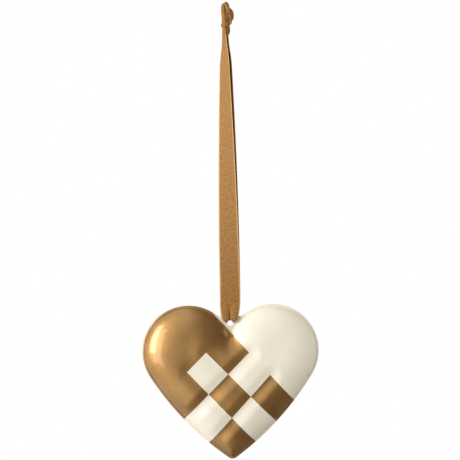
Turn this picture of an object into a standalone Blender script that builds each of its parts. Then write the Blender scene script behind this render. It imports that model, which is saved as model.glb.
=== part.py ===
"""Metal heart ornament on a ribbon loop.

Two pressed tin halves, puffed like a cushion and stamped with a three by three woven heart, are
crimped together round their rim. A ribbon goes through a hole in the flat web of the cleft and is
knotted above. The origin is where the loop hangs, just under the knot. The front faces -Y.
"""
from math import atan2, cos, hypot, pi, radians, sin, sqrt

import bmesh
import bpy
from mathutils import Vector

# Outline of the heart, seen from the front: tangent arcs, mirrored about the centre line
HEART_WIDTH = 0.0800
LOBE_OVERLAP = 0.0018         # each lobe's circle reaches this far past the centre line
SIDE_RADIUS = 0.1340
TIP_RADIUS = 0.0030
TIP_DROP = 0.0459             # from the lobes' centres down to the tip circle's centre
WEB_HEIGHT = 0.0162           # from the lobes' centres up to the top of the web
WEB_RADIUS = 0.0182
WEB_FILLET = 0.0020
CLEFT_FILLET = 0.0010

# Sheet, crimped rim and punched hole
SHEET = 0.0003
CLEARANCE = 0.0003
RIM_WIDTH = 0.0011
HOLE_DIAMETER = 0.0034
HOLE_LAND = 0.00035           # flat metal between the crimp and the hole

# Puffed form: height over the flange, and how far in from the rim it keeps rising
FRONT_HEIGHT = 0.0065
BACK_HEIGHT = 0.0060
RISE_WIDTH = 0.0160
RISE_SHAPE = 2.4
RISE_ROUNDNESS = 0.62
RIDGE_SHARPNESS = 4.0
WALL_INSETS = (0.0005, 0.0012)

# Weave: gold strips run down to the right, cream strips run down to the left
GOLD_EDGE_INSET = 0.0015
GOLD_STRIPS = (0.340, 0.318)  # widths of the first two strips, as shares of a lobe's diameter
GOLD_SLOPES = (-0.050, -0.030, 0.0)
CREAM_STRIPS = (0.340, 0.347)
STRIP_RISE_LENGTH = 0.0070
FRONT_RELIEF = 0.0011
BACK_RELIEF = 0.0008
RELIEF_BLEND = 0.0007         # the step from strip to strip takes this much on each side
RELIEF_FADE = 0.0040          # from the rim in to the full relief

# Ribbon
RIBBON_WIDTH = 0.0090
RIBBON_THICKNESS = 0.0004
LOOP_DROP = 0.1347            # from the hanging point down to the hole's centre
RIBBON_TWIST = radians(72)
FLAT_END = 0.0075             # it faces the front this far above the hole's centre
STRAND_AIR = 0.0008
KNOT_AIR = 0.0016
KNOT_END_WIDTH = 0.0068
KNOT_END_LENGTH = 0.0180
SPREAD_START = 0.0046         # the strands part to pass the rim, from here up
SPREAD_LENGTH = 0.0182
GATHER_LENGTH = 0.0064
GATHERED_WIDTH = 0.0080
GATHERED_CURL = radians(60)
HOLE_CURL = radians(76)

# Knot
KNOT_HEIGHT = 0.0116
KNOT_WIDTH = 0.0059
KNOT_DEPTH = 0.0078
KNOT_OFFSET = 0.0010
KNOT_FOOT = 0.42              # share of the lump's height below its widest place
KNOT_WIND = 3.2               # radians that the wound ribbon turns in half the lump's height
KNOT_RIDGE = 0.16
KNOT_TAPER = 0.16

# Fineness of the faceted solids
WEB_STEPS, FILLET_STEPS, CLEFT_STEPS = 3, 3, 4
LOBE_STEPS, SIDE_STEPS, TIP_STEPS = 20, 9, 4
FRONT_STEPS, BACK_STEPS = 4, 3
BLEND_SAMPLES = 8
HOLE_SIDES = 24
ACROSS_STEPS, STRAND_STEPS, GATHER_STEPS, CORNER_STEPS = 6, 16, 6, 4
KNOT_SIDES, KNOT_RINGS = 24, 16
SMOOTH_ANGLE = radians(40)

LOBE_RADIUS = (HEART_WIDTH / 2 + LOBE_OVERLAP) / 2
LOBE_OFFSET = HEART_WIDTH / 2 - LOBE_RADIUS
FLANGE_FACE = CLEARANCE / 2 + SHEET
LIP_FRONT = FLANGE_FACE + CLEARANCE
LIP_BACK = LIP_FRONT + SHEET
HOLE_HEIGHT = WEB_HEIGHT - RIM_WIDTH - HOLE_LAND - HOLE_DIAMETER / 2
HEART_LEVEL = -LOOP_DROP - HOLE_HEIGHT


def tangent_centre(first, first_distance, second, second_distance, side):
    """Point at both distances, to the right (1) or left (-1) of the line from first to second."""
    span = (second - first).length
    unit = (second - first) / span
    along = (first_distance ** 2 - second_distance ** 2 + span ** 2) / (2 * span)
    off = sqrt(first_distance ** 2 - along ** 2)
    return first + unit * along + Vector((unit.y, -unit.x)) * off * side


def direction(start, end):
    return atan2(end.y - start.y, end.x - start.x)


LOBE = Vector((LOBE_OFFSET, 0))
TIP = Vector((0, -TIP_DROP))
WEB = Vector((0, WEB_HEIGHT - WEB_RADIUS))
SIDE = tangent_centre(LOBE, SIDE_RADIUS - LOBE_RADIUS, TIP, SIDE_RADIUS - TIP_RADIUS, 1)
NECK = tangent_centre(WEB, WEB_RADIUS + WEB_FILLET, LOBE, LOBE_RADIUS + WEB_FILLET, -1)


def lower_arcs(inset):
    """Lobe, side and tip of the right half, each as centre, radius, two angles and steps."""
    lobe_end = direction(SIDE, LOBE)
    side_end = direction(SIDE, TIP)
    return [
        (LOBE, LOBE_RADIUS - inset, direction(LOBE, NECK), lobe_end, LOBE_STEPS),
        (SIDE, SIDE_RADIUS - inset, lobe_end, side_end, SIDE_STEPS),
        (TIP, TIP_RADIUS - inset, side_end, -pi / 2, TIP_STEPS),
    ]


def web_arcs(inset):
    """Top of the web, and the fillet from it into the lobe."""
    web_end = direction(WEB, NECK)
    return [
        (WEB, WEB_RADIUS - inset, pi / 2, web_end, WEB_STEPS),
        (NECK, WEB_FILLET + inset, web_end - pi, direction(NECK, LOBE), FILLET_STEPS),
    ]


def cleft_arcs(inset, rim):
    """Foot of the puffed form in the cleft, where the two lobes meet below the web."""
    reach = LOBE_RADIUS - rim + CLEFT_FILLET
    cleft = Vector((0, sqrt(reach ** 2 - LOBE_OFFSET ** 2)))
    return [
        (cleft, CLEFT_FILLET + inset - rim, -pi / 2, direction(cleft, LOBE), FILLET_STEPS),
        (LOBE, LOBE_RADIUS - inset, direction(LOBE, cleft), direction(LOBE, NECK), CLEFT_STEPS),
    ]


def on_arc(centre, radius, angle):
    return centre.x + radius * cos(angle), centre.y + radius * sin(angle)


def closed_loop(arcs):
    """Points down the right half from the top, and back up its mirror image."""
    right = []
    for centre, radius, start, end, steps in arcs:
        right += [on_arc(centre, radius, start + (end - start) * n / steps) for n in range(steps)]
    right.append(on_arc(centre, radius, end))
    return right + [(-u, v) for u, v in reversed(right[1:-1])]


def rim_loop(inset):
    return closed_loop(web_arcs(inset) + lower_arcs(inset))


def dome_loop(inset, rim):
    return closed_loop(cleft_arcs(inset, rim) + lower_arcs(inset))


def distance_to_arcs(u, v, arcs):
    nearest = HEART_WIDTH
    for centre, radius, start, end, steps in arcs:
        angle = atan2(v - centre.y, u - centre.x)
        low, high = min(start, end), max(start, end)
        if any(low <= angle + turn <= high for turn in (-2 * pi, 0, 2 * pi)):
            nearest = min(nearest, abs(hypot(u - centre.x, v - centre.y) - radius))
        for stop in (start, end):
            stop_u, stop_v = on_arc(centre, radius, stop)
            nearest = min(nearest, hypot(u - stop_u, v - stop_v))
    return nearest


def dome_depth(u, v, rim):
    """Distance in from the foot of the puffed form, rounded over along the centre line."""
    arcs = cleft_arcs(rim, rim) + lower_arcs(rim)
    right = distance_to_arcs(u, v, arcs)
    left = distance_to_arcs(-u, v, arcs)
    if min(left, right) == 0:
        return 0
    return (right ** -RIDGE_SHARPNESS + left ** -RIDGE_SHARPNESS) ** (-1 / RIDGE_SHARPNESS)


def dome_rise(depth, height):
    outer = 1 - min(depth / RISE_WIDTH, 1)
    return height * (1 - outer ** RISE_SHAPE) ** RISE_ROUNDNESS


# Edges of the strips, as offset and slope. With p growing to the upper right and q to the lower
# right, a gold strip's edge is at p = offset + slope * q, and a cream strip's at q = offset.
LOBE_EDGE = LOBE_RADIUS - LOBE_OFFSET / sqrt(2)
GOLD_EDGES = [(LOBE_EDGE - GOLD_EDGE_INSET - sum(GOLD_STRIPS[:n]) * 2 * LOBE_RADIUS, slope)
              for n, slope in enumerate(GOLD_SLOPES)]
CREAM_EDGES = [(sum(CREAM_STRIPS[:n]) * 2 * LOBE_RADIUS - LOBE_EDGE, 0.0)
               for n in range(len(CREAM_STRIPS) + 1)]


def shows_gold(gold, cream, side):
    """Whether gold is on top, past so many gold and cream edges. Side is 0 in front, 1 behind."""
    if gold == 0:
        return False
    if cream == 0:
        return True
    return (gold + cream + side) % 2 == 0


def cell(u, v):
    """Place across the strips, and how many gold and cream edges lie before it."""
    p = (u + v) / sqrt(2)
    q = (u - v) / sqrt(2)
    gold = sum(p < offset + slope * q for offset, slope in GOLD_EDGES)
    cream = sum(q > offset for offset, slope in CREAM_EDGES)
    return p, q, gold, cream


def strip_rise(u, v, side):
    """Height of a strip from 0, where it dips under the next one, to 1 along its middle."""
    p, q, gold, cream = cell(u, v)
    end = STRIP_RISE_LENGTH
    if shows_gold(gold, cream, side):
        for n, (offset, slope) in enumerate(CREAM_EDGES):
            if shows_gold(gold, n, side) != shows_gold(gold, n + 1, side):
                end = min(end, abs(q - offset))
    else:
        for n, (offset, slope) in enumerate(GOLD_EDGES):
            if shows_gold(n, cream, side) != shows_gold(n + 1, cream, side):
                end = min(end, abs(p - offset - slope * q))
    return 1 - (1 - end / STRIP_RISE_LENGTH) ** 2


def pressed_rise(u, v, side):
    """The strips' height as the press leaves it, averaged over a small circle."""
    total = strip_rise(u, v, side)
    for n in range(BLEND_SAMPLES):
        near_u, near_v = on_arc(Vector((u, v)), RELIEF_BLEND, 2 * pi * n / BLEND_SAMPLES)
        total += strip_rise(near_u, near_v, side)
    return total / (BLEND_SAMPLES + 1)


def grid_lines(edges, steps):
    """Both sides of the step at each edge, with lines between them and on past them to the rim."""
    lines = []
    for offset, slope in edges:
        lines += [(offset - RELIEF_BLEND, slope), (offset, slope), (offset + RELIEF_BLEND, slope)]
    for (offset, slope), (next_offset, next_slope) in zip(edges, edges[1:]):
        for n in range(1, steps):
            lines.append((offset + (next_offset - offset) * n / steps,
                          slope + (next_slope - slope) * n / steps))
    spacing = (edges[-1][0] - edges[0][0]) / (len(edges) - 1) / steps
    count = int(HEART_WIDTH / 2 / abs(spacing))
    for n in range(1, count):
        lines += [(edges[0][0] - spacing * n, edges[0][1]), (edges[-1][0] + spacing * n, edges[-1][1])]
    return lines


def cut_grid(bm, face, steps):
    """Cuts one face along the lines of the weave."""
    planes = []
    for offset, slope in grid_lines(GOLD_EDGES, steps):
        planes.append((Vector((1, 0, 1)) * offset / sqrt(2), Vector((1 - slope, 0, 1 + slope))))
    for offset, slope in grid_lines(CREAM_EDGES, steps):
        planes.append((Vector((1, 0, -1)) * offset / sqrt(2), Vector((1, 0, -1))))
    geometry = list(face.verts) + list(face.edges) + [face]
    for point, normal in planes:
        cut = bmesh.ops.bisect_plane(bm, geom=geometry, plane_co=point, plane_no=normal, dist=1e-6)
        geometry = cut["geom"]


def add_ring(bm, loop, y):
    return [bm.verts.new((u, y, v)) for u, v in loop]


def bridge(bm, first, second):
    """Faces between two rings that run side by side, point for point."""
    for n in range(len(first)):
        bm.faces.new((first[n - 1], first[n], second[n], second[n - 1]))


def rim_profile(bm, profile):
    """Sweeps a profile of inset and depth round the heart, and closes its last ring."""
    rings = [add_ring(bm, rim_loop(inset), y) for inset, y in profile]
    for first, second in zip(rings, rings[1:]):
        bridge(bm, first, second)
    bm.faces.new(rings[-1])
    return rings[0]


def flat_web(bm, rim_ring, rim, face_y):
    """The web's flat face. Returns the foot of the puffed form, which shares the rim's points."""
    web = WEB_STEPS + FILLET_STEPS
    cleft = FILLET_STEPS + CLEFT_STEPS
    lower = len(rim_ring) - 2 * web + 1
    foot = dome_loop(rim, rim)
    right = add_ring(bm, foot[:cleft], face_y)
    left = add_ring(bm, foot[cleft + lower:], face_y)
    shared = rim_ring[web:web + lower]
    top_right = rim_ring[:web]
    top_left = rim_ring[web + lower:]
    bm.faces.new(top_right + [shared[0]] + right[::-1] + left[::-1] + [shared[-1]] + top_left)
    return right + shared + left


def puffed_face(bm, foot, rim, height, relief, steps, side, face_y):
    """Steep wall and stamped top inside the foot."""
    outward = 1 if side else -1
    flat = set(bm.verts)
    for inset in WALL_INSETS:
        inner = add_ring(bm, dome_loop(rim + inset, rim), face_y)
        bridge(bm, foot, inner)
        foot = inner
    cut_grid(bm, bm.faces.new(foot), steps)
    for vert in bm.verts:
        if vert not in flat:
            u, v = vert.co.x, vert.co.z
            depth = dome_depth(u, v, rim)
            dip = relief * min(depth / RELIEF_FADE, 1) * (1 - pressed_rise(u, v, side))
            vert.co.y = face_y + outward * (dome_rise(depth, height) - dip)


def colour_faces(bm, side):
    for face in bm.faces:
        middle = face.calc_center_median()
        p, q, gold, cream = cell(middle.x, middle.z)
        face.material_index = 0 if shows_gold(gold, cream, side) else 1


def finished(name, bm, materials):
    bmesh.ops.triangulate(bm, faces=bm.faces)
    bmesh.ops.recalc_face_normals(bm, faces=bm.faces)
    mesh = bpy.data.meshes.new(name)
    bm.to_mesh(mesh)
    bm.free()
    for material in materials:
        mesh.materials.append(material)
    mesh.shade_smooth()
    mesh.set_sharp_from_angle(angle=SMOOTH_ANGLE)
    piece = bpy.data.objects.new(name, mesh)
    bpy.context.collection.objects.link(piece)
    return piece


def heart_front(materials):
    """Front half. Its rim is folded back round the other half's flange."""
    bm = bmesh.new()
    rim_ring = rim_profile(bm, [
        (RIM_WIDTH, -FLANGE_FACE),
        (SHEET, -FLANGE_FACE),
        (0, -FLANGE_FACE + SHEET),
        (0, LIP_BACK - SHEET),
        (SHEET, LIP_BACK),
        (RIM_WIDTH, LIP_BACK),
        (RIM_WIDTH, LIP_FRONT),
        (SHEET, LIP_FRONT),
        (SHEET, -CLEARANCE / 2),
    ])
    foot = flat_web(bm, rim_ring, RIM_WIDTH, -FLANGE_FACE)
    puffed_face(bm, foot, RIM_WIDTH, FRONT_HEIGHT, FRONT_RELIEF, FRONT_STEPS, 0, -FLANGE_FACE)
    colour_faces(bm, 0)
    bmesh.ops.translate(bm, verts=bm.verts, vec=(0, 0, HEART_LEVEL))
    return finished("heart_front", bm, materials)


def heart_back(materials):
    """Back half. Its flange lies inside the front half's fold."""
    bm = bmesh.new()
    edge = SHEET + CLEARANCE
    rim = RIM_WIDTH + CLEARANCE
    rim_ring = rim_profile(bm, [(rim, FLANGE_FACE), (edge, FLANGE_FACE), (edge, CLEARANCE / 2)])
    foot = flat_web(bm, rim_ring, rim, FLANGE_FACE)
    puffed_face(bm, foot, rim, BACK_HEIGHT, BACK_RELIEF, BACK_STEPS, 1, FLANGE_FACE)
    colour_faces(bm, 1)
    bmesh.ops.translate(bm, verts=bm.verts, vec=(0, 0, HEART_LEVEL))
    return finished("heart_back", bm, materials)


def punch_hole(halves):
    """The hole for the ribbon, punched through both halves at once."""
    bm = bmesh.new()
    bmesh.ops.create_cone(bm, cap_ends=True, segments=HOLE_SIDES, radius1=HOLE_DIAMETER / 2,
                          radius2=HOLE_DIAMETER / 2, depth=4 * LIP_BACK)
    mesh = bpy.data.meshes.new("punch")
    bm.to_mesh(mesh)
    bm.free()
    punch = bpy.data.objects.new("punch", mesh)
    bpy.context.collection.objects.link(punch)
    punch.rotation_euler.x = pi / 2
    punch.location.z = -LOOP_DROP
    punch.hide_render = True
    punch.display_type = "WIRE"
    for half in halves:
        cut = half.modifiers.new("hole", "BOOLEAN")
        cut.operation = "DIFFERENCE"
        cut.solver = "EXACT"
        cut.object = punch


def mix(low, high, share):
    return low + (high - low) * share


def ease(value):
    share = min(max(value, 0), 1)
    return share * share * (3 - 2 * share)


def ribbon_section(spine, across, outward, width, curl):
    """Points round one section: an arc of the given width and half angle, bent outwards."""
    curl = max(curl, radians(1))
    radius = width / (2 * curl)
    points = []
    for offset in (RIBBON_THICKNESS / 2, -RIBBON_THICKNESS / 2):
        row = []
        for n in range(ACROSS_STEPS + 1):
            angle = curl * (2 * n / ACROSS_STEPS - 1)
            row.append(spine + outward * radius + (radius - offset)
                       * (across * sin(angle) - outward * cos(angle)))
        points += row if offset > 0 else row[::-1]
    return points


def strand_section(drop, facing):
    """Section of a strand, a given drop below the hanging point. Facing is 1 in front."""
    turn = RIBBON_TWIST * max(1 - drop / (LOOP_DROP - FLAT_END), 0)
    outward = Vector((-sin(turn), -cos(turn), 0)) * facing
    across = Vector((cos(turn), -sin(turn), 0))
    height = LOOP_DROP - drop
    near_rim = 1 - ease((height - SPREAD_START) / SPREAD_LENGTH)
    near_knot = 1 - ease(drop / KNOT_END_LENGTH)
    rim_air = LIP_BACK + FLANGE_FACE + 2 * CLEARANCE
    air = mix(mix(STRAND_AIR, KNOT_AIR, near_knot), rim_air, near_rim)
    middle = Vector((0, (LIP_BACK - FLANGE_FACE) / 2 * near_rim, -drop))
    spine = middle + outward * (air + RIBBON_THICKNESS) / 2
    gather = 1 - ease((height - HOLE_DIAMETER / 2) / GATHER_LENGTH)
    width = mix(mix(RIBBON_WIDTH, KNOT_END_WIDTH, near_knot), GATHERED_WIDTH, gather)
    return ribbon_section(spine, across, outward, width, GATHERED_CURL * gather)


def turn_section(share):
    """Section on the way through the hole: a third for each corner, and a third between them."""
    standoff = CLEARANCE + RIBBON_THICKNESS / 2
    angle = pi / 2 * (min(share * 3, 1) + max(share * 3 - 2, 0))
    depth = mix(-FLANGE_FACE, LIP_BACK, min(max(share * 3 - 1, 0), 1))
    outward = Vector((0, -cos(angle), -sin(angle)))
    spine = Vector((0, depth, HOLE_DIAMETER / 2 - LOOP_DROP)) + outward * standoff
    inside = ease(min(share, 1 - share) * 3)
    width = mix(GATHERED_WIDTH, 2 * HOLE_CURL * (HOLE_DIAMETER / 2 - standoff), inside)
    curl = mix(GATHERED_CURL, HOLE_CURL, inside)
    return ribbon_section(spine, Vector((1, 0, 0)), outward, width, curl)


def ribbon_loop(fabric):
    """One ribbon: down in front, through the hole and up behind, to the underside of the knot."""
    gather_end = LOOP_DROP - HOLE_DIAMETER / 2
    gather_start = gather_end - GATHER_LENGTH
    drops = [mix(CLEARANCE, gather_start, n / STRAND_STEPS) for n in range(STRAND_STEPS)]
    drops += [mix(gather_start, gather_end, n / GATHER_STEPS) for n in range(GATHER_STEPS)]
    turns = 3 * CORNER_STEPS
    sections = [strand_section(drop, 1) for drop in drops]
    sections += [turn_section(n / turns) for n in range(turns + 1)]
    sections += [strand_section(drop, -1) for drop in reversed(drops)]
    bm = bmesh.new()
    rings = [[bm.verts.new(point) for point in section] for section in sections]
    for first, second in zip(rings, rings[1:]):
        bridge(bm, first, second)
    bm.faces.new(rings[0])
    bm.faces.new(rings[-1])
    return finished("ribbon_loop", bm, [fabric])


def ribbon_knot(fabric):
    """The knot above the loop: a firm lump with the ribbon wound slantwise round it."""
    bm = bmesh.new()
    bmesh.ops.create_uvsphere(bm, u_segments=KNOT_SIDES, v_segments=KNOT_RINGS, radius=1)
    for vert in bm.verts:
        x, y, z = vert.co
        ridge = KNOT_RIDGE * (2 * sqrt(abs(cos(KNOT_WIND * z + atan2(y, x)))) - 1) * (1 - z * z)
        girth = (1 + ridge) * (1 - KNOT_TAPER * max(-z, 0))
        reach = (1 - KNOT_FOOT) if z > 0 else KNOT_FOOT / sin(radians(60))
        vert.co = (x * girth * KNOT_WIDTH / 2 + KNOT_OFFSET, y * girth * KNOT_DEPTH / 2,
                   KNOT_HEIGHT * (KNOT_FOOT + z * reach))
    cut = bmesh.ops.bisect_plane(bm, geom=bm.verts[:] + bm.edges[:] + bm.faces[:],
                                 plane_co=(0, 0, 0), plane_no=(0, 0, 1), clear_inner=True)
    rim = [part for part in cut["geom_cut"] if isinstance(part, bmesh.types.BMEdge)]
    bmesh.ops.edgenet_fill(bm, edges=rim)
    return finished("ribbon_knot", bm, [fabric])


def finish(name, colour, roughness, metallic):
    material = bpy.data.materials.new(name)
    material.use_nodes = True
    shader = material.node_tree.nodes["Principled BSDF"]
    shader.inputs["Base Color"].default_value = (*colour, 1)
    shader.inputs["Roughness"].default_value = roughness
    shader.inputs["Metallic"].default_value = metallic
    return material


for leftover in list(bpy.data.objects):
    bpy.data.objects.remove(leftover)

gold_lacquer = finish("gold lacquer", (0.42, 0.24, 0.09), 0.35, 0.8)
cream_enamel = finish("cream enamel", (0.82, 0.78, 0.65), 0.25, 0.0)
brown_satin = finish("brown satin", (0.40, 0.20, 0.07), 0.7, 0.0)

punch_hole([heart_front([gold_lacquer, cream_enamel]), heart_back([gold_lacquer, cream_enamel])])
ribbon_loop(brown_satin)
ribbon_knot(brown_satin)
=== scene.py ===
from math import atan2, cos, hypot, pi, radians, sin, sqrt

import bmesh
import bpy
from mathutils import Matrix, Vector


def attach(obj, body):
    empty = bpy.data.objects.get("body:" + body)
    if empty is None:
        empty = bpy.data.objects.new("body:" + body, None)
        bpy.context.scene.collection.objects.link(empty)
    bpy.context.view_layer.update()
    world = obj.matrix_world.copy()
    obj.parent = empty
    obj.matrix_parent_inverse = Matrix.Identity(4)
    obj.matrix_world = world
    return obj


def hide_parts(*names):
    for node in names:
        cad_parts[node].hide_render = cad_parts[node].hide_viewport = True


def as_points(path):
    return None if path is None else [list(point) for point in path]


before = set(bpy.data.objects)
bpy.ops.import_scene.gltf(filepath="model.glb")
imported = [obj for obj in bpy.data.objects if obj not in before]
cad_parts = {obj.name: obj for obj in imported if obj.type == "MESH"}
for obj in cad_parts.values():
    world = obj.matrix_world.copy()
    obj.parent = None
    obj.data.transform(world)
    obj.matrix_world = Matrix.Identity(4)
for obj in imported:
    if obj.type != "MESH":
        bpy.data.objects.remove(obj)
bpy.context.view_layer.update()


# Camera. A long lens, level with the ornament's middle and square to the heart's front. It is rolled
# a little, so that the ornament hangs slightly aslant.
VIEW_MIDDLE = Vector((0.00078, 0, -0.09284))
VIEW_WIDTH = 0.2089
VIEW_ROLL = radians(-1.10)
LENS_MM, SENSOR_MM = 120, 36

camera_data = bpy.data.cameras.new("camera")
camera_data.lens = LENS_MM
camera_data.sensor_width = SENSOR_MM
camera = bpy.data.objects.new("camera", camera_data)
camera.location = VIEW_MIDDLE - Vector((0, VIEW_WIDTH * LENS_MM / SENSOR_MM, 0))
turned_level = Matrix.Rotation(pi / 2, 3, "X") @ Matrix.Rotation(VIEW_ROLL, 3, "Z")
camera.rotation_euler = turned_level.to_euler()
bpy.context.collection.objects.link(camera)
bpy.context.scene.camera = camera
bpy.context.scene.view_settings.view_transform = "Standard"


# Ribbon strands. One brown satin ribbon, 9 mm wide with small loops of weft down both edges, comes
# down in front, is bunched through the hole in the heart and goes up behind. It turns by 72 degrees
# on its way up. It is made as a front and a back strand, which meet in the middle of the hole.
RIBBON_WIDTH = 0.0090
RIBBON_ROOM = 0.0004          # thickness of the room the strand lies in
CLOTH_THICKNESS = 0.0003
LOOP_DROP = 0.1347            # from the hanging point down to the hole's centre
RIBBON_TWIST = radians(72)
FLAT_END = 0.0075             # it faces the front this far above the hole's centre
STRAND_AIR = 0.0010
KNOT_AIR = 0.0005
SWAY = 0.0003                 # to the right, above the gathered end
SWAY_LENGTH = 0.0080
KNOT_END_WIDTH = 0.0036
KNOT_END_LENGTH = 0.0180
SPREAD_START = 0.0046         # the strands part to pass the rim, from here up
SPREAD_LENGTH = 0.0182
GATHER_LENGTH = 0.0060
GATHER_SHAPE = 0.6
GATHERED_WIDTH = 0.0070
PLEAT_TURN = radians(138)     # of a sine from the crease in the middle out to the edge
PLEAT_SHAPE = 0.7
HOLE_CURL = radians(100)
CREASE_LENGTH = 0.0240        # the folds below the knot run out over this length
CREASE_DEPTH = 0.00022
CREASE_ARCH = 3               # in crease depths
CREASE_TURN = 9               # radians of a ripple from the middle out to the edge
CREASE_START = 1
PICOT_PITCH = 0.0013
PICOT_DEPTH = 0.00014

# What the strands pass: the hole and the halves' sheet, flange and hem
CLEARANCE = 0.0003
SHEET = 0.0003
HOLE_DIAMETER = 0.0034
FLANGE_FACE = CLEARANCE / 2 + SHEET
LIP_FRONT = FLANGE_FACE + CLEARANCE
LIP_BACK = LIP_FRONT + SHEET

STANDOFF = CLEARANCE + RIBBON_ROOM / 2
HOLE_TOP = LOOP_DROP - HOLE_DIAMETER / 2
CORNER_TRAVEL = STANDOFF * pi / 2
STRAND_TRAVEL = HOLE_TOP + CORNER_TRAVEL + (LIP_BACK + FLANGE_FACE) / 2


def mix(low, high, share):
    return low + (high - low) * share


def ease(value):
    share = min(max(value, 0), 1)
    return share * share * (3 - 2 * share)


def pleat_depth(width):
    """How far two pleats stand out when the whole ribbon is gathered into a width."""
    chord = width / 2
    return chord * sqrt(3 / 8 * max(RIBBON_WIDTH / 2 / chord - 1, 0))


def strand_line(drop, facing):
    """Middle of a strand, its outward and sideways directions and its width."""
    turn = RIBBON_TWIST * max(1 - drop / (LOOP_DROP - FLAT_END), 0)
    outward = Vector((-sin(turn), -cos(turn), 0)) * facing
    across = Vector((cos(turn), -sin(turn), 0))
    height = LOOP_DROP - drop
    near_rim = 1 - ease((height - SPREAD_START) / SPREAD_LENGTH)
    near_knot = 1 - ease(drop / KNOT_END_LENGTH)
    rim_air = LIP_BACK + FLANGE_FACE + 2 * CLEARANCE
    air = mix(mix(STRAND_AIR, KNOT_AIR, near_knot), rim_air, near_rim)
    sway = SWAY * ease((height - HOLE_DIAMETER) / SWAY_LENGTH)
    middle = Vector((sway, (LIP_BACK - FLANGE_FACE) / 2 * near_rim, -drop))
    gather = 1 - min(max((height - HOLE_DIAMETER / 2) / GATHER_LENGTH, 0), 1) ** GATHER_SHAPE
    width = mix(mix(RIBBON_WIDTH, KNOT_END_WIDTH, near_knot), GATHERED_WIDTH, gather)
    return middle + outward * (air + RIBBON_ROOM) / 2, outward, across, width


def strand_place(across_share, travel, facing):
    """Place of a point of the ribbon, from -1 to 1 across it and so far down from the knot."""
    spine, outward, across, width = strand_line(min(travel, HOLE_TOP), facing)
    side = across_share * width / 2
    stand = pleat_depth(width) * sin(PLEAT_TURN * abs(across_share) ** PLEAT_SHAPE)
    if travel < CREASE_LENGTH:
        arch = CREASE_ARCH * cos(across_share * pi / 2)
        ripple = sin(across_share * CREASE_TURN + CREASE_START)
        stand = (1 - ease(travel / CREASE_LENGTH)) * CREASE_DEPTH * (arch + ripple)
    if travel > HOLE_TOP:
        angle = min((travel - HOLE_TOP) / CORNER_TRAVEL, 1) * pi / 2
        outward = Vector((0, -facing * cos(angle), -sin(angle)))
        face = -FLANGE_FACE if facing > 0 else LIP_BACK
        through = max(travel - HOLE_TOP - CORNER_TRAVEL, 0) * facing
        spine = Vector((0, face + through, -HOLE_TOP)) + outward * STANDOFF
        radius = HOLE_DIAMETER / 2 - STANDOFF
        inside = ease(angle / (pi / 2))
        side = mix(side, radius * sin(HOLE_CURL * across_share), inside)
        stand = mix(stand, radius * (1 - cos(HOLE_CURL * across_share)), inside)
    return spine + across * side + outward * stand


def bent_grid(bm, columns, rows, place, cloth_width, cloth_length):
    """A flat grid moved point by point to its place, with the cloth's own sizes as its UV map."""
    weave = bm.loops.layers.uv.verify()
    made = bmesh.ops.create_grid(bm, x_segments=columns, y_segments=rows, size=0.5)
    faces = {face for vert in made["verts"] for face in vert.link_faces}
    for face in faces:
        for loop in face.loops:
            flat = loop.vert.co
            loop[weave].uv = (flat.x * cloth_width, (flat.y + 0.5) * cloth_length)
    for vert in made["verts"]:
        vert.co = place(vert.co.x * 2, vert.co.y + 0.5)
    return list(faces)


SHARP_CORNER = radians(40)


def smooth_faces(mesh):
    mesh.shade_smooth()
    mesh.set_sharp_from_angle(angle=SHARP_CORNER)


def new_piece(name, bm, materials):
    """The finished object of a bmesh, smooth except at sharp corners."""
    mesh = bpy.data.meshes.new(name)
    bm.to_mesh(mesh)
    bm.free()
    for material in materials:
        mesh.materials.append(material)
    smooth_faces(mesh)
    piece = bpy.data.objects.new(name, mesh)
    bpy.context.collection.objects.link(piece)
    return piece


def add_node(owner, kind, **values):
    """A shader node of a material or the world, with its settings and input values."""
    node = owner.node_tree.nodes.new("ShaderNode" + kind)
    for name, value in values.items():
        if name[0].isupper():
            node.inputs[name.replace("_", " ")].default_value = value
        else:
            setattr(node, name, value)
    return node


def new_material(name, colour, roughness, **values):
    material = bpy.data.materials.new(name)
    material.use_nodes = True
    shader = material.node_tree.nodes["Principled BSDF"]
    shader.inputs["Base Color"].default_value = (*colour, 1)
    shader.inputs["Roughness"].default_value = roughness
    for socket, value in values.items():
        shader.inputs[socket.replace("_", " ")].default_value = value
    return material, shader


SATIN_BROWN = (0.475, 0.235, 0.060)
SATIN_SHADE = (0.25, 0.100, 0.022)
# Colour of the painted highlight along the ribbon's edges, where the edge loops catch light
SATIN_EDGE_HIGHLIGHT = (0.78, 0.47, 0.18)
THREAD_PITCH = 0.00030
THREAD_SHADE = 0.35
RIB_HEIGHT = 0.00008
MOTTLE_SIZE = 0.0011
SELVEDGE_START, SELVEDGE_END = 0.0039, 0.0044


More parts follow.
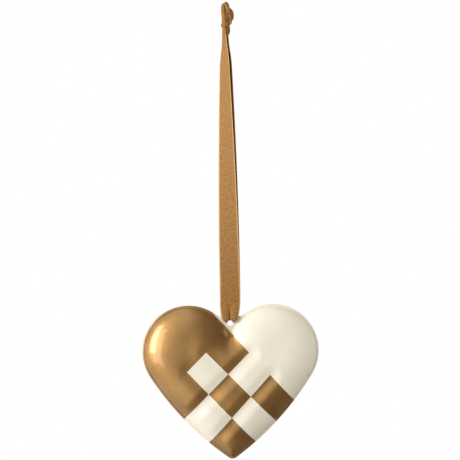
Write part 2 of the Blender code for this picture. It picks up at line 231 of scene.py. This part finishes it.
def brown_satin():
    """Woven satin: fine weft ribs and warp threads with painted shade between the threads, uneven dye,
    and a lighter band along both edges that is a painted highlight where the edge loops catch light.
    """
    material, shader = new_material("brown satin ribbon", SATIN_BROWN, 0.66,
                                    Sheen_Weight=0.08, Sheen_Roughness=0.4,
                                    Specular_IOR_Level=0.3)
    join = material.node_tree.links.new
    cloth = add_node(material, "UVMap")
    weft = add_node(material, "TexWave", bands_direction="Y", Scale=pi / 10 / THREAD_PITCH,
                    Distortion=0.6)
    warp = add_node(material, "TexWave", bands_direction="X", Scale=pi / 10 / THREAD_PITCH,
                    Distortion=0.6)
    woven = add_node(material, "Math", operation="MULTIPLY")
    mottle = add_node(material, "TexNoise", Scale=1 / MOTTLE_SIZE, Detail=3)
    for texture in (weft, warp, mottle):
        join(cloth.outputs["UV"], texture.inputs["Vector"])
    join(weft.outputs["Fac"], woven.inputs[0])
    join(warp.outputs["Fac"], woven.inputs[1])
    uneven = add_node(material, "MapRange", From_Min=0.35, From_Max=0.65, To_Min=0.0, To_Max=0.6)
    join(mottle.outputs["Fac"], uneven.inputs["Value"])
    dyed = add_node(material, "MixRGB", Color1=(*SATIN_BROWN, 1), Color2=(*SATIN_SHADE, 1))
    join(uneven.outputs["Result"], dyed.inputs["Fac"])
    # The woven pattern darkens the dyed colour between the threads by the share THREAD_SHADE: painted
    # shade in the grooves.
    painted_thread_shade = add_node(material, "MixRGB", blend_type="MULTIPLY", Fac=THREAD_SHADE)
    join(dyed.outputs["Color"], painted_thread_shade.inputs["Color1"])
    join(woven.outputs["Value"], painted_thread_shade.inputs["Color2"])
    split = add_node(material, "SeparateXYZ")
    join(cloth.outputs["UV"], split.inputs["Vector"])
    out = add_node(material, "Math", operation="ABSOLUTE")
    join(split.outputs["X"], out.inputs[0])
    # Both edges are mixed towards a lighter satin colour: a painted highlight where the edge loops
    # catch light.
    edge = add_node(material, "MapRange", From_Min=SELVEDGE_START, From_Max=SELVEDGE_END,
                    To_Min=0.0, To_Max=0.6)
    join(out.outputs["Value"], edge.inputs["Value"])
    finished = add_node(material, "MixRGB", Color2=(*SATIN_EDGE_HIGHLIGHT, 1))
    join(edge.outputs["Result"], finished.inputs["Fac"])
    join(painted_thread_shade.outputs["Color"], finished.inputs["Color1"])
    join(finished.outputs["Color"], shader.inputs["Base Color"])
    ribs = add_node(material, "Bump", Strength=0.6, Distance=RIB_HEIGHT)
    join(woven.outputs["Value"], ribs.inputs["Height"])
    join(ribs.outputs["Normal"], shader.inputs["Normal"])
    return material


satin = brown_satin()
STRAND_COLUMNS, STRAND_ROWS = 18, 640


def picot(across_share, travel):
    """How far the small weft loops stand out at the ribbon's very edge."""
    at_edge = abs(across_share) > 0.999
    return PICOT_DEPTH * (0.5 + 0.5 * sin(travel * 2 * pi / PICOT_PITCH)) if at_edge else 0


def ribbon_strand(name, facing):
    bm = bmesh.new()

    def place(across_share, along_share):
        travel = mix(CLEARANCE, STRAND_TRAVEL, along_share)
        reach = 1 + picot(across_share, travel) * 2 / RIBBON_WIDTH
        return strand_place(across_share * reach, travel, facing)

    faces = bent_grid(bm, STRAND_COLUMNS, STRAND_ROWS, place, RIBBON_WIDTH, STRAND_TRAVEL)
    bmesh.ops.solidify(bm, geom=faces, thickness=CLOTH_THICKNESS)
    bmesh.ops.recalc_face_normals(bm, faces=bm.faces)
    strand = new_piece(name, bm, [satin])
    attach(strand, "root")
    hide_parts("ribbon_loop")
    return strand


def strand_route(facing, points=30):
    """The strand's middle line, from the hole up to the knot."""
    travels = [STRAND_TRAVEL * n / (points - 1) for n in range(points)]
    return [tuple(strand_place(0, travel, facing)) for travel in reversed(travels)]


front_strand = ribbon_strand("ribbon_front_strand", 1)
back_strand = ribbon_strand("ribbon_back_strand", -1)


# Knot. The two ends of the ribbon are tied together in one overhand knot, pulled tight. A folded
# band goes straight up at the left and over the top, comes down slantwise and is wound round the
# right; smaller folds are caught below.
BAND_THICKNESS = 0.0006
BAND_ROUNDING = 0.42          # of its width, as far as the edges turn back
ROUNDED_REACH = 0.96          # of the arc's radius, for half the band
BAND_ROWS, BAND_COLUMNS = 48, 12
ROUTE_STEP = 0.01             # of a route's length, to either side, for its direction
CORE_MIDDLE = Vector((0.0011, 0.0001, 0.0045))
CORE_SIZE = Vector((0.0019, 0.0020, 0.0044))
KNOT_BANDS = {
    # Route points in millimetres, facing directions, and widths in millimetres
    "left": ([(-0.5, -1.2, -0.6), (-0.6, -1.7, 2.5), (-0.75, -1.8, 5.5), (-1.0, -1.6, 8.0),
              (-0.6, -0.9, 9.8), (0.4, 0.5, 10.2), (1.0, 1.8, 7.0)],
             [(-0.6, -0.8, 0), (-0.6, -0.8, 0), (-0.6, -0.8, 0), (-0.6, -0.7, 0.2),
              (-0.4, -0.3, 0.9), (0.1, 0.7, 0.6), (0.3, 1, 0)],
             [2.2, 2.5, 2.2, 2.0, 2.2, 3.0, 3.4]),
    "cap": ([(-0.7, 0.2, 9.4), (-0.2, -1.0, 10.0), (0.9, -1.5, 10.3), (1.9, -1.0, 10.0),
             (2.5, 0.3, 9.0)],
            [(-0.6, -0.4, 0.6), (-0.2, -0.8, 0.6), (0, -0.8, 0.7), (0.6, -0.6, 0.5), (1, 0.2, 0.2)],
            [1.6, 1.9, 2.0, 2.0, 2.4]),
    "slant": ([(1.0, -1.5, 9.4), (1.4, -2.3, 8.6), (1.9, -2.8, 7.3), (2.4, -2.8, 6.2),
               (2.8, -1.9, 5.2)],
              [(0, -1, 0.5), (0.1, -1, 0.2), (0.15, -1, 0), (0.3, -1, -0.2), (0.4, -0.8, -0.4)],
              [1.3, 1.6, 1.6, 1.6, 1.2]),
    "girdle": ([(1.6, -0.9, 4.2), (2.6, -1.7, 4.5), (3.7, -1.4, 4.7), (4.4, -0.1, 4.9),
                (3.9, 1.4, 5.2), (2.2, 2.5, 5.6), (0.2, 2.6, 6.0), (-1.1, 1.5, 6.2), (-1.4, 0.2, 6.4)],
               [(0, -1, 0.1), (0.25, -1, 0), (0.7, -0.7, 0), (1, -0.1, 0), (0.8, 0.6, 0),
                (0.3, 1, 0), (-0.4, 1, 0), (-1, 0.5, 0), (-1, 0, 0)],
               [1.6, 2.6, 4.0, 5.2, 5.4, 5.0, 4.4, 3.8, 3.2]),
    "stripe": ([(2.4, -2.2, 5.2), (2.75, -2.5, 4.2), (3.1, -2.3, 2.9), (3.0, -1.6, 1.7),
                (2.3, -1.0, 0.7)],
               [(-0.2, -1, 0), (-0.1, -1, 0), (0.1, -1, 0), (0.3, -0.9, -0.2), (0.2, -0.8, -0.5)],
               [0.7, 0.8, 0.9, 1.0, 1.0]),
    "foot": ([(-1.6, -1.1, 0.3), (-0.1, -2.0, 0.4), (1.2, -1.9, 0.7), (2.2, -1.0, 1.4),
              (2.5, 0.6, 1.9), (1.4, 1.8, 1.9), (-0.4, 1.5, 1.8), (-1.2, 0.4, 1.6)],
             [(-0.7, -0.7, 0), (-0.2, -1, 0), (0.3, -1, -0.1), (0.8, -0.6, -0.2),
              (1, 0.3, -0.1), (0.4, 1, 0), (-0.6, 0.8, 0), (-1, 0.2, 0)],
             [1.0, 1.3, 1.7, 2.2, 2.8, 3.0, 2.8, 2.4]),
    "crossing": ([(-1.4, -1.3, 0.2), (-0.4, -2.1, -0.5), (0.35, -2.3, -1.7), (0.55, -2.2, -3.4)],
                 [(-0.4, -1, 0.1), (-0.3, -1, 0.1), (-0.3, -1, 0), (-0.4, -1, 0)],
                 [0.9, 1.0, 0.9, 0.4]),
    "tuck": ([(1.4, -0.6, 1.2), (1.8, -0.9, -0.4), (1.9, -0.8, -2.2), (1.6, -0.2, -3.8)],
             [(-0.1, -1, 0), (-0.1, -1, 0), (-0.1, -1, 0), (0, -1, -0.2)],
             [1.0, 1.2, 1.2, 0.6]),
}


def smooth_between(values, share):
    """Passes through the values in turn, as share goes from 0 to 1."""
    position = share * (len(values) - 1)
    first = min(int(position), len(values) - 2)
    t = position - first
    a, b = values[max(first - 1, 0)], values[first]
    c, d = values[first + 1], values[min(first + 2, len(values) - 1)]
    return (b * 2 + (c - a) * t + (a * 2 - b * 5 + c * 4 - d) * t ** 2
            + (b * 3 - a - c * 3 + d) * t ** 3) / 2


def knot_band(bm, route, facings, widths):
    """A folded band of ribbon with a rounded back, laid along a route and facing given ways."""
    points = [Vector(point) / 1000 for point in route]
    directions = [Vector(facing).normalized() for facing in facings]

    def place(across_share, along_share):
        point = smooth_between(points, along_share)
        ahead = smooth_between(points, min(along_share + ROUTE_STEP, 1))
        behind = smooth_between(points, max(along_share - ROUTE_STEP, 0))
        facing = smooth_between(directions, along_share).normalized()
        side = (ahead - behind).cross(facing).normalized()
        width = smooth_between(widths, along_share) / 1000
        rounding = (1 - sqrt(1 - (across_share * ROUNDED_REACH) ** 2)) * width * BAND_ROUNDING
        return point + side * across_share * width / 2 - facing * rounding

    length = sum((b - a).length for a, b in zip(points, points[1:]))
    faces = bent_grid(bm, BAND_COLUMNS, BAND_ROWS, place, RIBBON_WIDTH / 2, length)
    bmesh.ops.solidify(bm, geom=faces, thickness=BAND_THICKNESS)


knot_form = bmesh.new()
bmesh.ops.create_icosphere(knot_form, subdivisions=3, radius=1, matrix=Matrix.LocRotScale(
    CORE_MIDDLE, None, CORE_SIZE))
for band in KNOT_BANDS.values():
    knot_band(knot_form, *band)
bmesh.ops.recalc_face_normals(knot_form, faces=knot_form.faces)
knot = new_piece("ribbon_end_knot", knot_form, [satin])
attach(knot, "root")
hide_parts("ribbon_knot")

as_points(strand_route(1))
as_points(strand_route(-1))


# Heart, front half. Thin tinplate pressed into a cushion with the woven heart stamped in it, then
# lacquered gold and cream. Its rim is folded back round the flange of the other half.
HEART_WIDTH = 0.0800
LOBE_OVERLAP = 0.0018
SIDE_RADIUS = 0.1340
TIP_RADIUS = 0.0030
TIP_DROP = 0.0459
WEB_HEIGHT = 0.0162
WEB_RADIUS = 0.0182
WEB_FILLET = 0.0020
CLEFT_FILLET = 0.0010
RIM_WIDTH = 0.0011
HOLE_LAND = 0.00035
FRONT_HEIGHT = 0.0065
RISE_WIDTH = 0.0160           # from the foot of the puffed form to its flat middle
RISE_SHAPE = 2.4
RISE_ROUNDNESS = 0.62
RIDGE_SHARPNESS = 4.0

# How the ridges are evened out: over a disc whose radius is a share of the depth inside the foot
EVENED_SHARE = 0.70
EVENED_START = 0.0025         # nearer to the foot than this, nothing is evened out
EVENED_GRID = 0.0010
EVENED_POINTS = 10

# The woven strips, as shares of a lobe's width. Their edges lean by the slopes.
GOLD_EDGE_INSET = 0.0015      # inside the line that touches the gold lobe
GOLD_STRIPS = (0.331, 0.299)
GOLD_SLOPES = (-0.050, -0.014, -0.030)
CREAM_EDGE_OUTSET = 0.0004    # outside the line that touches the cream lobe
CREAM_STRIPS = (0.335, 0.335)
CREAM_SLOPES = (0.0, 0.0, -0.042)
STRIP_RISE_LENGTH = 0.0055
FRONT_RELIEF = 0.0009
SLIGHT_SHARE = 0.40           # of the relief, along the gold strips' edges
PRESS_SHIFT = 0.0010          # of the pressing against the paint
RELIEF_FULL = 0.8             # of the puffed height, where the relief reaches its own depth

# How finely the halves are made
OUTLINE_STEPS = 720
NOSE_STEPS = 8
WALL_INSETS = (0.00012, 0.0003, 0.00055, 0.00085, 0.0012, 0.0015)
GRID_SPACING = 0.0005
LARGEST_WALL_FACE = 4e-7      # square metres
HOLE_SIDES = 48
FLUSH = 1e-6
TOUCHING = 1e-7

LOBE_RADIUS = (HEART_WIDTH / 2 + LOBE_OVERLAP) / 2
LOBE_OFFSET = HEART_WIDTH / 2 - LOBE_RADIUS
HOLE_HEIGHT = WEB_HEIGHT - RIM_WIDTH - HOLE_LAND - HOLE_DIAMETER / 2
HEART_LEVEL = -LOOP_DROP - HOLE_HEIGHT


def tangent_centre(first, first_distance, second, second_distance, side):
    """Point at both distances, to the right (1) or left (-1) of the line from first to second."""
    span = (second - first).length
    unit = (second - first) / span
    along = (first_distance ** 2 - second_distance ** 2 + span ** 2) / (2 * span)
    off = sqrt(first_distance ** 2 - along ** 2)
    return first + unit * along + Vector((unit.y, -unit.x)) * off * side


def direction(start, end):
    return atan2(end.y - start.y, end.x - start.x)


LOBE = Vector((LOBE_OFFSET, 0))
TIP = Vector((0, -TIP_DROP))
WEB = Vector((0, WEB_HEIGHT - WEB_RADIUS))
SIDE = tangent_centre(LOBE, SIDE_RADIUS - LOBE_RADIUS, TIP, SIDE_RADIUS - TIP_RADIUS, 1)
NECK = tangent_centre(WEB, WEB_RADIUS + WEB_FILLET, LOBE, LOBE_RADIUS + WEB_FILLET, -1)

# The right half's arcs: centre, radius, first and last angle. A fillet's radius is below zero.
LOWER_ARCS = [
    (LOBE, LOBE_RADIUS, direction(LOBE, NECK), direction(SIDE, LOBE)),
    (SIDE, SIDE_RADIUS, direction(SIDE, LOBE), direction(SIDE, TIP)),
    (TIP, TIP_RADIUS, direction(SIDE, TIP), -pi / 2),
]
WEB_ARCS = [
    (WEB, WEB_RADIUS, pi / 2, direction(WEB, NECK)),
    (NECK, -WEB_FILLET, direction(WEB, NECK) - pi, direction(NECK, LOBE)),
]
RIM_ARCS = WEB_ARCS + LOWER_ARCS


def cleft_arcs(rim):
    """Foot of the puffed form in the cleft, where the two lobes meet below the web."""
    reach = LOBE_RADIUS - rim + CLEFT_FILLET
    cleft = Vector((0, sqrt(reach ** 2 - LOBE_OFFSET ** 2)))
    return [
        (cleft, rim - CLEFT_FILLET, -pi / 2, direction(cleft, LOBE)),
        (LOBE, LOBE_RADIUS, direction(LOBE, cleft), direction(LOBE, NECK)),
    ]


def rim_place(share, inset, y):
    """A point of the rim, so far round from the web's top, so far in from the edge and so deep."""
    spans = [abs(radius * (end - start)) for centre, radius, start, end in RIM_ARCS]
    right = share <= 0.5
    travel = (share if right else 1 - share) * 2 * sum(spans)
    for (centre, radius, start, end), span in zip(RIM_ARCS, spans):
        if travel <= span + 1e-9:
            break
        travel -= span
    angle = start + (end - start) * min(travel / span, 1)
    reach = abs(radius - inset)
    u, v = centre.x + reach * cos(angle), centre.y + reach * sin(angle)
    return Vector((u if right else -u, y, v))


def distance_to_arcs(u, v, arcs, rim):
    nearest = HEART_WIDTH
    for centre, full_radius, start, end in arcs:
        radius = abs(full_radius - rim)
        angle = atan2(v - centre.y, u - centre.x)
        low, high = min(start, end), max(start, end)
        if any(low <= angle + turn <= high for turn in (-2 * pi, 0, 2 * pi)):
            nearest = min(nearest, abs(hypot(u - centre.x, v - centre.y) - radius))
        for stop in (start, end):
            nearest = min(nearest, hypot(u - centre.x - radius * cos(stop),
                                         v - centre.y - radius * sin(stop)))
    return nearest


def over_web(u, v, rim):
    """Whether a point lies on the flat web, above the foot of the puffed form."""
    reach = LOBE_RADIUS - rim
    in_lobe = hypot(abs(u) - LOBE_OFFSET, v) < reach
    cleft_centre = cleft_arcs(rim)[0][0]
    in_fillet = hypot(u, v - cleft_centre.y) < CLEFT_FILLET
    joint = LOBE_OFFSET * CLEFT_FILLET / (reach + CLEFT_FILLET)
    below_fillet = abs(u) < joint and v < cleft_centre.y and not in_fillet
    return v > 0 and not in_lobe and not below_fillet


def depth_inside(u, v, rim):
    """How far a point lies inside the foot of the puffed form."""
    if over_web(u, v, rim):
        return 0
    arcs = cleft_arcs(rim) + LOWER_ARCS
    right = distance_to_arcs(u, v, arcs, rim)
    left = distance_to_arcs(-u, v, arcs, rim)
    if min(left, right) < TOUCHING:
        return 0
    return (right ** -RIDGE_SHARPNESS + left ** -RIDGE_SHARPNESS) ** (-1 / RIDGE_SHARPNESS)


def evened_depths(rim):
    """Depths on a square grid over the right half, each a mean over a disc that widens inwards."""
    depths = {}
    for column in range(int(HEART_WIDTH / 2 / EVENED_GRID) + 3):
        for row in range(-int(TIP_DROP / EVENED_GRID) - 3, int(LOBE_RADIUS / EVENED_GRID) + 3):
            u, v = column * EVENED_GRID, row * EVENED_GRID
            depth = depth_inside(u, v, rim)
            nearby = [depth] * 2
            for n in range(EVENED_POINTS):
                reach, angle = EVENED_SHARE * depth, 2 * pi * n / EVENED_POINTS
                nearby.append(depth_inside(u + reach * cos(angle), v + reach * sin(angle), rim))
            depths[column, row] = sum(nearby) / len(nearby)
    return depths


def evened_depth(depths, u, v):
    column, x = divmod(abs(u) / EVENED_GRID, 1)
    row, z = divmod(v / EVENED_GRID, 1)
    rows = [smooth_between([depths[abs(column + i), row + j] for i in (-1, 0, 1, 2)], (1 + x) / 3)
            for j in (-1, 0, 1, 2)]
    return smooth_between(rows, (1 + z) / 3)


def puffed_rise(u, v, rim, height, depths):
    """Height of the puffed form over the flange, its ridges evened out as the sheet stretches."""
    if distance_to_arcs(abs(u), v, LOWER_ARCS, 0) < rim + TOUCHING:
        return 0
    depth = depth_inside(u, v, rim)
    if depth == 0:
        return 0
    if depth > EVENED_START:
        inner = ease(depth / EVENED_START - 1)
        depth = mix(depth, evened_depth(depths, u, v), inner)
    return height * (1 - (1 - min(depth / RISE_WIDTH, 1)) ** RISE_SHAPE) ** RISE_ROUNDNESS


LOBE_EDGE = LOBE_RADIUS - LOBE_OFFSET / sqrt(2)
GOLD_EDGES = [(LOBE_EDGE - GOLD_EDGE_INSET - sum(GOLD_STRIPS[:n]) * 2 * LOBE_RADIUS, slope)
              for n, slope in enumerate(GOLD_SLOPES)]
CREAM_EDGES = [(sum(CREAM_STRIPS[:n]) * 2 * LOBE_RADIUS - LOBE_EDGE - CREAM_EDGE_OUTSET, slope)
               for n, slope in enumerate(CREAM_SLOPES)]


def shows_gold(gold, cream, side):
    """Whether gold is on top, past so many gold and cream edges. Side is 0 in front, 1 behind."""
    if gold == 0:
        return False
    return cream == 0 or (gold + cream + side) % 2 == 0


def cell(u, v):
    """Place across the strips, and how many gold and cream edges lie before it."""
    p = (u + v) / sqrt(2)
    q = (u - v) / sqrt(2)
    gold = sum(p < offset + slope * q for offset, slope in GOLD_EDGES)
    cream = sum(q > offset + slope * p for offset, slope in CREAM_EDGES)
    return p, q, gold, cream


def pressed_in(u, v, relief):
    """How far the face is pressed in along the edges of the woven strips, past the plain lobes. The
    pressing lies a little to the lower right of the paint."""
    shift = PRESS_SHIFT / sqrt(2)
    p, q, gold, cream = cell(u - shift, v + shift)
    past_gold = max(CREAM_EDGES[0][0] - q, 0)
    past_cream = max(p - GOLD_EDGES[0][0] - GOLD_EDGES[0][1] * q, 0)
    to_cream_edge = min(abs(q - offset - slope * p) for offset, slope in CREAM_EDGES[1:])
    to_gold_edge = min(abs(p - offset - slope * q) for offset, slope in GOLD_EDGES[1:])
    steep = 1 - ease(hypot(to_cream_edge, past_cream) / STRIP_RISE_LENGTH)
    slight = 1 - ease(hypot(to_gold_edge, past_gold) / STRIP_RISE_LENGTH)
    return relief * (steep + SLIGHT_SHARE * slight)


def weave_plane(offset, slope, across):
    """A plane along a line of the weave, across the gold strips (True) or the cream ones."""
    if across:
        return Vector((1, 0, 1)) * offset / sqrt(2), Vector((1 - slope, 0, 1 + slope))
    return Vector((1, 0, -1)) * offset / sqrt(2), Vector((1 - slope, 0, -1 - slope))


def cut_along(bm, geometry, planes):
    for point, normal in planes:
        cut = bmesh.ops.bisect_plane(bm, geom=geometry, plane_co=point, plane_no=normal,
                                     dist=TOUCHING)
        geometry = cut["geom"]


def grid_planes():
    """Closely spaced planes both ways, which make the face fine enough to be pressed."""
    count = int(HEART_WIDTH / 2 / GRID_SPACING) + 6
    return [weave_plane(n * GRID_SPACING, 0, across)
            for across in (True, False) for n in range(-count, count + 1)]


def heart_half(name, profile, rim, height, relief, side, face_y, materials):
    """A rim swept from its profile, and the puffed and stamped face inside it."""
    bm = bmesh.new()
    outward = 1 if side else -1
    walls = [(rim + inset, face_y) for inset in reversed(WALL_INSETS)]
    stations = walls + profile

    def place(across_share, along_share):
        inset, y = stations[round((across_share + 1) / 2 * (len(stations) - 1))]
        return rim_place(along_share, inset, y)

    bent_grid(bm, len(stations) - 1, OUTLINE_STEPS, place, 1, 1)
    bmesh.ops.remove_doubles(bm, verts=bm.verts, dist=FLUSH)
    edges = [edge for edge in bm.edges if edge.is_boundary]
    bmesh.ops.edgeloop_fill(bm, edges=edges)
    geometry = bm.verts[:] + bm.edges[:] + bm.faces[:]
    cut_along(bm, geometry, [weave_plane(offset, slope, across) for across, lines in
                             ((True, GOLD_EDGES), (False, CREAM_EDGES)) for offset, slope in lines])
    face_area = [face for face in bm.faces if face.calc_area() > LARGEST_WALL_FACE
                 and abs(face.calc_center_median().y - face_y) < FLUSH]
    parts = {vert for face in face_area for vert in face.verts}
    parts |= {edge for face in face_area for edge in face.edges}
    cut_along(bm, list(parts) + face_area, grid_planes())
    depths = evened_depths(rim)
    for vert in bm.verts:
        if abs(vert.co.y - face_y) < FLUSH:
            u, v = vert.co.x, vert.co.z
            rise = puffed_rise(u, v, rim, height, depths)
            if rise > 0:
                fade = min(rise / height / RELIEF_FULL, 1) ** 2
                rise -= fade * pressed_in(u, v, relief)
                vert.co.y = face_y + outward * rise
    for face in bm.faces:
        middle = face.calc_center_median()
        p, q, gold, cream = cell(middle.x, middle.z)
        face.material_index = 0 if shows_gold(gold, cream, side) else 1
    bmesh.ops.translate(bm, verts=bm.verts, vec=(0, 0, HEART_LEVEL))
    bmesh.ops.recalc_face_normals(bm, faces=bm.faces)
    return new_piece(name, bm, materials)


def nose(radius, y_front, y_back):
    """Profile of a rounded edge from the front to the back, as inset and depth."""
    middle = (y_front + y_back) / 2
    half = (y_back - y_front) / 2
    return [(radius - radius * sin(pi * n / NOSE_STEPS), middle - half * cos(pi * n / NOSE_STEPS))
            for n in range(NOSE_STEPS + 1)]


GOLD_COLOUR = (0.48, 0.262, 0.074)
GOLD_DEEP = (0.32, 0.165, 0.040)
CREAM_COLOUR = (0.82, 0.77, 0.65)
CREAM_DEEP = (0.77, 0.71, 0.58)
FLAKE_SIZE = 0.00022
FLAKE_SHARE = 0.35


def gold_lacquer():
    """Fine metal flake in brown gold lacquer, under a clear gloss."""
    material, shader = new_material("gold lacquer", GOLD_COLOUR, 0.43, Metallic=0.95,
                                    Coat_Weight=0.85, Coat_Roughness=0.06, Coat_IOR=1.6)
    join = material.node_tree.links.new
    place = add_node(material, "TexCoord")
    flakes = add_node(material, "TexVoronoi", Scale=1 / FLAKE_SIZE)
    cloud = add_node(material, "TexNoise", Scale=120, Detail=2)
    join(place.outputs["Object"], flakes.inputs["Vector"])
    join(place.outputs["Object"], cloud.inputs["Vector"])
    tone = add_node(material, "Math", operation="MULTIPLY_ADD")
    tone.inputs[1].default_value = FLAKE_SHARE
    join(flakes.outputs["Distance"], tone.inputs[0])
    join(cloud.outputs["Fac"], tone.inputs[2])
    spread = add_node(material, "MapRange", From_Min=0.35, From_Max=0.95, To_Min=0.0, To_Max=1.0)
    join(tone.outputs["Value"], spread.inputs["Value"])
    colour = add_node(material, "MixRGB", Color1=(*GOLD_COLOUR, 1), Color2=(*GOLD_DEEP, 1))
    join(spread.outputs["Result"], colour.inputs["Fac"])
    join(colour.outputs["Color"], shader.inputs["Base Color"])
    rough = add_node(material, "MapRange", From_Min=0.0, From_Max=1.0, To_Min=0.38, To_Max=0.48)
    join(flakes.outputs["Distance"], rough.inputs["Value"])
    join(rough.outputs["Result"], shader.inputs["Roughness"])
    return material


def cream_enamel():
    """Glossy cream enamel with a slight unevenness."""
    material, shader = new_material("cream enamel", CREAM_COLOUR, 0.38,
                                    Coat_Weight=0.7, Coat_Roughness=0.08)
    join = material.node_tree.links.new
    place = add_node(material, "TexCoord")
    cloud = add_node(material, "TexNoise", Scale=150, Detail=3)
    join(place.outputs["Object"], cloud.inputs["Vector"])
    colour = add_node(material, "MixRGB", Color1=(*CREAM_COLOUR, 1), Color2=(*CREAM_DEEP, 1))
    join(cloud.outputs["Fac"], colour.inputs["Fac"])
    join(colour.outputs["Color"], shader.inputs["Base Color"])
    ripple = add_node(material, "TexNoise", Scale=600, Detail=1)
    join(place.outputs["Object"], ripple.inputs["Vector"])
    bump = add_node(material, "Bump", Strength=0.15, Distance=0.00003)
    join(ripple.outputs["Fac"], bump.inputs["Height"])
    join(bump.outputs["Normal"], shader.inputs["Normal"])
    return material


def punch_hole(half):
    """Cuts the ribbon's hole through one half."""
    bm = bmesh.new()
    along_y = Matrix.Translation((0, 0, -LOOP_DROP)) @ Matrix.Rotation(pi / 2, 4, "X")
    bmesh.ops.create_cone(bm, cap_ends=True, segments=HOLE_SIDES, radius1=HOLE_DIAMETER / 2,
                          radius2=HOLE_DIAMETER / 2, depth=4 * LIP_BACK, matrix=along_y)
    punch = new_piece("punch", bm, [])
    cut = half.modifiers.new("hole", "BOOLEAN")
    cut.operation = "DIFFERENCE"
    cut.object = punch
    shaped = half.evaluated_get(bpy.context.evaluated_depsgraph_get())
    mesh = bpy.data.meshes.new_from_object(shaped)
    half.modifiers.clear()
    half.data = mesh
    bpy.data.objects.remove(punch)
    smooth_faces(mesh)


finishes = [gold_lacquer(), cream_enamel()]
hem = [(RIM_WIDTH, -FLANGE_FACE)] + nose(SHEET * 1.5, -FLANGE_FACE, LIP_BACK) + [
    (RIM_WIDTH, LIP_BACK), (RIM_WIDTH, LIP_FRONT), (SHEET, LIP_FRONT), (SHEET, -CLEARANCE / 2)]
front = heart_half("heart_front_half", hem, RIM_WIDTH, FRONT_HEIGHT, FRONT_RELIEF, 0, -FLANGE_FACE,
                   finishes)
punch_hole(front)
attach(front, "root")
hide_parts("heart_front")


# Heart, back half. Pressed from the same sheet, a little shallower and with the weave turned over.
# Its flange is held in the front half's fold.
BACK_HEIGHT = 0.0060
BACK_RELIEF = 0.0006
BACK_RIM = RIM_WIDTH + CLEARANCE
FLANGE_EDGE = SHEET + CLEARANCE

flange = [(BACK_RIM, FLANGE_FACE), (FLANGE_EDGE, FLANGE_FACE), (FLANGE_EDGE, CLEARANCE / 2)]
back = heart_half("heart_back_half", flange, BACK_RIM, BACK_HEIGHT, BACK_RELIEF, 1, FLANGE_FACE,
                  finishes)
punch_hole(back)
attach(back, "root")
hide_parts("heart_back")


# Floor and lights. A plain pale floor far below fades out into a white surround. A tall soft light
# and a reflector stand at the left, and a weak fill at the right.
FLOOR_LEVEL = -0.60
FLOOR_REACH = 0.60
FADE_START = 0.30

floor_form = bmesh.new()
bmesh.ops.create_circle(floor_form, cap_ends=True, segments=64, radius=FLOOR_REACH,
                        matrix=Matrix.Translation((0, 0, FLOOR_LEVEL)))
white_floor, floor_shader = new_material("white floor", (0.66, 0.66, 0.65), 0.8)
floor_place = add_node(white_floor, "TexCoord")
floor_out = add_node(white_floor, "VectorMath", operation="LENGTH")
floor_share = add_node(white_floor, "MapRange", interpolation_type="SMOOTHSTEP",
                       From_Min=FADE_START, From_Max=FLOOR_REACH, To_Min=1.0, To_Max=0.0)
join = white_floor.node_tree.links.new
join(floor_place.outputs["Object"], floor_out.inputs[0])
join(floor_out.outputs["Value"], floor_share.inputs["Value"])
join(floor_share.outputs["Result"], floor_shader.inputs["Alpha"])
floor = new_piece("floor", floor_form, [white_floor])


def soft_light(name, place, aim, width, height, power):
    light = bpy.data.lights.new(name, "AREA")
    light.shape = "RECTANGLE"
    light.size, light.size_y = width, height
    light.energy = power
    lamp = bpy.data.objects.new(name, light)
    lamp.location = place
    lamp.rotation_euler = (Vector(aim) - Vector(place)).to_track_quat("-Z", "Y").to_euler()
    lamp.visible_camera = False
    bpy.context.collection.objects.link(lamp)
    return lamp


soft_light("left softbox", (-0.84, -0.43, 0.175), (0, 0, 0.175), 0.48, 0.79, 6.6)
soft_light("left reflector", (-0.70, -0.70, -0.05), (0, 0, -0.05), 0.50, 0.80, 2.8)
right_fill = soft_light("right fill", (0.90, -0.12, -0.05), (0, 0, -0.10), 0.50, 0.70, 4.6)
right_fill.visible_glossy = False

TO_BRIGHT_SIDE = (-0.94, -0.13, 0.32)
DARK_END, BRIGHT_END = -0.10, 0.42
DARK_COLOUR = (0.26, 0.230, 0.196, 1)
BRIGHT_COLOUR = (0.96, 0.96, 0.94, 1)

surround = bpy.data.worlds.new("white surround")
surround.use_nodes = True
bpy.context.scene.world = surround
lighting = surround.node_tree.nodes["Background"]
way = add_node(surround, "TexCoord")
towards = add_node(surround, "VectorMath", operation="DOT_PRODUCT")
towards.inputs[1].default_value = TO_BRIGHT_SIDE
share = add_node(surround, "MapRange", interpolation_type="SMOOTHSTEP",
                 From_Min=DARK_END, From_Max=BRIGHT_END)
shade = add_node(surround, "MixRGB", Color1=DARK_COLOUR, Color2=BRIGHT_COLOUR)
seen = add_node(surround, "Background", Color=(1, 1, 1, 1))
path = add_node(surround, "LightPath")
choose = add_node(surround, "MixShader")
join = surround.node_tree.links.new
join(way.outputs["Generated"], towards.inputs[0])
join(towards.outputs["Value"], share.inputs["Value"])
join(share.outputs["Result"], shade.inputs["Fac"])
join(shade.outputs["Color"], lighting.inputs["Color"])
join(path.outputs["Is Camera Ray"], choose.inputs["Fac"])
join(lighting.outputs["Background"], choose.inputs[1])
join(seen.outputs["Background"], choose.inputs[2])
join(choose.outputs["Shader"], surround.node_tree.nodes["World Output"].inputs["Surface"])
